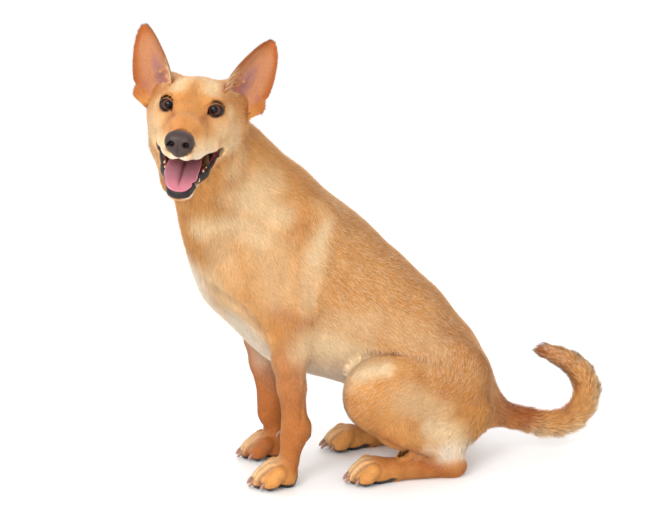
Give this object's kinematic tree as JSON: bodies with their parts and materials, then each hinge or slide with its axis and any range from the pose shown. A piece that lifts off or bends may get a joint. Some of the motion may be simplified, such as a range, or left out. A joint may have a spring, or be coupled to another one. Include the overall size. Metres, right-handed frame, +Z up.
{
  "type": "dog figure",
  "caption": "Life-size still figure of a sitting short-coated prick-eared dog with its head turned, mouth open and tail curled up.",
  "frame": {"origin": "on the floor, under the middle of the whole figure's bounding box", "axes": "+Z up, +X towards the tail, -Y towards the dog's left side"},
  "size_m": [0.7802, 0.3537, 0.7244],
  "materials": {
    "coat": "short tan fur",
    "eye": "wet and glossy",
    "nose": "moist pebbled skin",
    "tongue": "moist",
    "claw": "worn horn"
  },
  "bodies": {
    "root": {"head": "coat", "left_ear": "coat", "left_eye": "eye", "left_forearm": "coat", "left_foreclaw_1": "claw", "left_foreclaw_2": "claw", "left_foreclaw_3": "claw", "left_foreclaw_4": "claw", "left_foreclaw_5": "claw", "left_forepaw": "coat", "left_hindclaw_1": "claw", "left_hindclaw_2": "claw", "left_hindclaw_3": "claw", "left_hindclaw_4": "claw", "left_hindfoot": "coat", "left_shank": "coat", "left_thigh": "coat", "lower_jaw": "coat", "neck": "coat", "nose": "nose", "right_ear": "coat", "right_eye": "eye", "right_forearm": "coat", "right_foreclaw_1": "claw", "right_foreclaw_2": "claw", "right_foreclaw_3": "claw", "right_foreclaw_4": "claw", "right_foreclaw_5": "claw", "right_forepaw": "coat", "right_hindclaw_1": "claw", "right_hindclaw_2": "claw", "right_hindclaw_3": "claw", "right_hindclaw_4": "claw", "right_hindfoot": "coat", "right_shank": "coat", "right_thigh": "coat", "tail_base": "coat", "tail_middle": "coat", "tail_tip": "coat", "tongue": "tongue", "trunk": "coat"}
  },
  "joints": []
}
